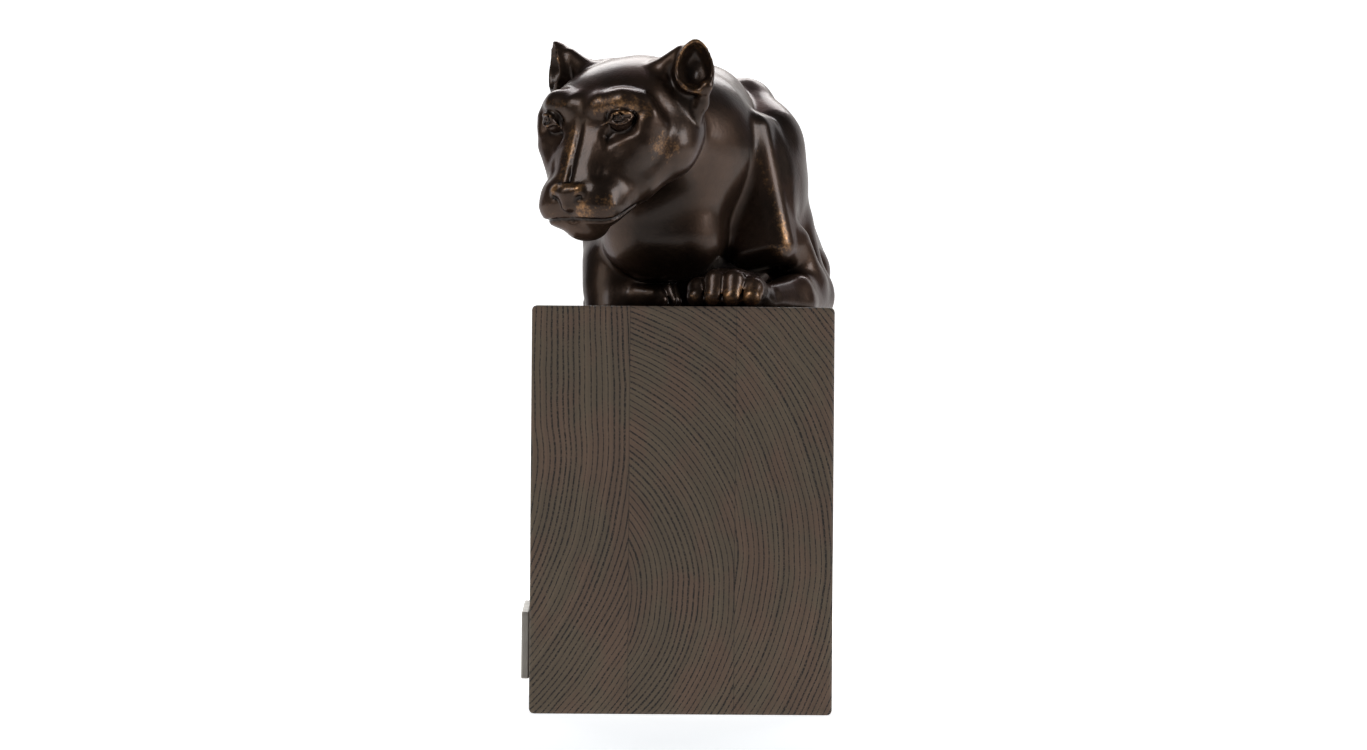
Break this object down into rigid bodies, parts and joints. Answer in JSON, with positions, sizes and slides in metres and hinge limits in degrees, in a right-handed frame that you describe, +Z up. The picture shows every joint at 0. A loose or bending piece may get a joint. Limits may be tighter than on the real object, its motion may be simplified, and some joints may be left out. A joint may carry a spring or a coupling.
{
  "type": "feline statue",
  "caption": "Crouching big cat cast in bronze, its head turned to one side, on a tall oblong block of stained wood with a bare metal plate on the block's long side.",
  "frame": {"origin": "middle of the plinth's underside", "axes": "+Z up, +Y along the plinth's long side towards the cat's tail, so the cat looks towards -Y"},
  "size_m": [0.1636, 0.5751, 0.337],
  "materials": {
    "plinth": "matte grey-brown stain",
    "plate": "brushed",
    "cat": "polished dark brown patina, rubbed golden on its high edges"
  },
  "bodies": {
    "root": {"plinth": "plinth", "plate": "plate", "cat": "cat"}
  },
  "joints": []
}
